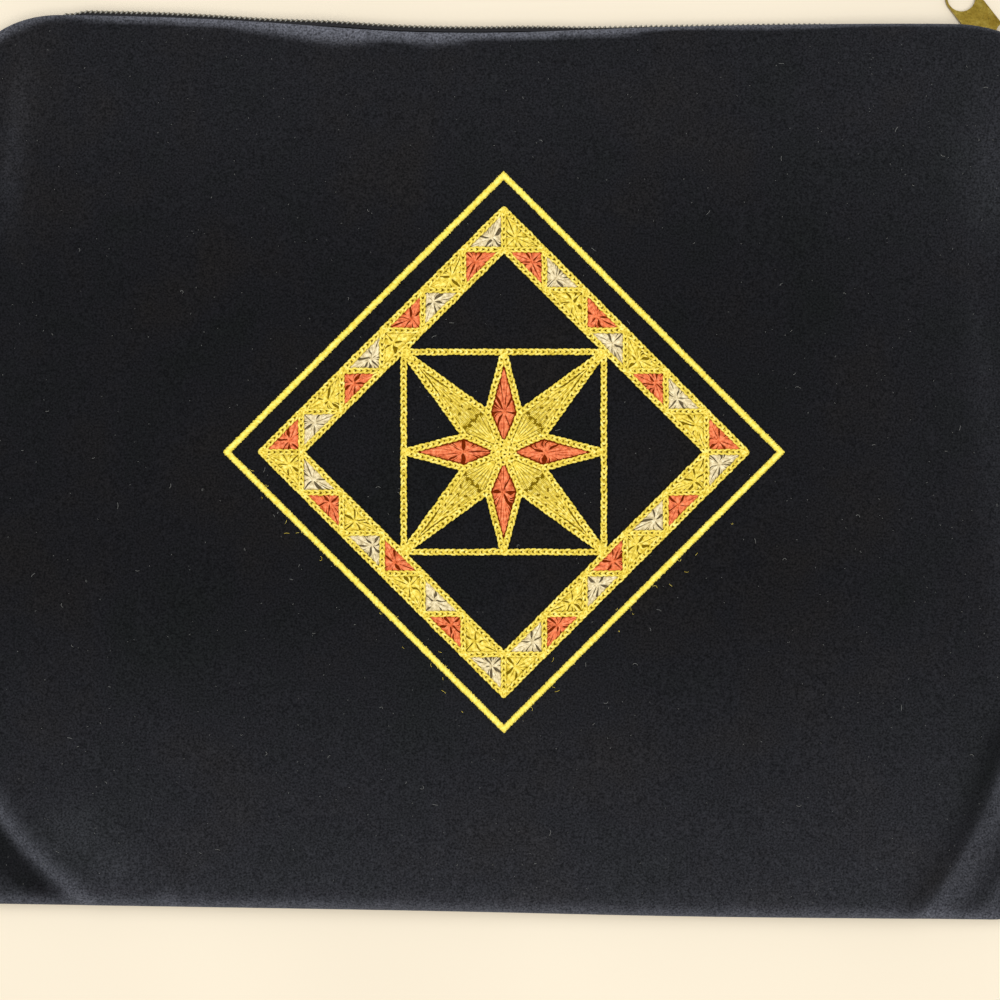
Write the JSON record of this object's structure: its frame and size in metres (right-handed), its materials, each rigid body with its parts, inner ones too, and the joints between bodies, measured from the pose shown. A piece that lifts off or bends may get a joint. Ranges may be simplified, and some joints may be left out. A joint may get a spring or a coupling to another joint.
{
  "type": "tallit bag",
  "caption": "Flat dark velvet zip bag with raised star, square and diamond-band embroidery and a swinging brass pull.",
  "frame": {"origin": "centre of the back panel's flat underside, on the table", "axes": "+X to the bag's right seen from the front, +Y up its height to the zip, +Z out of the embroidered front"},
  "size_m": [0.37, 0.3266, 0.0153],
  "materials": {
    "velvet": "near-black navy velvet with short pile",
    "zipper_tape": "woven black tape",
    "zipper_coil": "dark olive-brown nylon coil",
    "brass": "dull antique brass, worn along the edges",
    "gold_thread": "bright yellow-gold embroidery thread",
    "red_thread": "coral red embroidery thread",
    "silver_thread": "cream-silver embroidery thread"
  },
  "bodies": {
    "bag": {"front_panel": "velvet", "front_edge_left": "velvet", "front_edge_right": "velvet", "front_edge_bottom": "velvet", "back_panel": "velvet", "back_edge_left": "velvet", "back_edge_right": "velvet", "back_edge_bottom": "velvet", "zipper_tape_front": "zipper_tape", "zipper_tape_back": "zipper_tape", "zipper_coil": "zipper_coil", "zipper_slider": "brass", "satin_border": "gold_thread", "triangle_band": "gold_thread", "star_and_square": "gold_thread", "star_petal_east": "red_thread", "star_petal_north": "red_thread", "star_petal_west": "red_thread", "star_petal_south": "red_thread"},
    "pull": {"pull_tab": "brass"}
  },
  "joints": [
    {"name": "pull_swing", "type": "hinge", "parent": "bag", "child": "pull", "pos_m": [0.17457, 0.14413, 0.00276], "axis": [0, 0, 1], "range_deg": [-100, 4]}
  ]
}
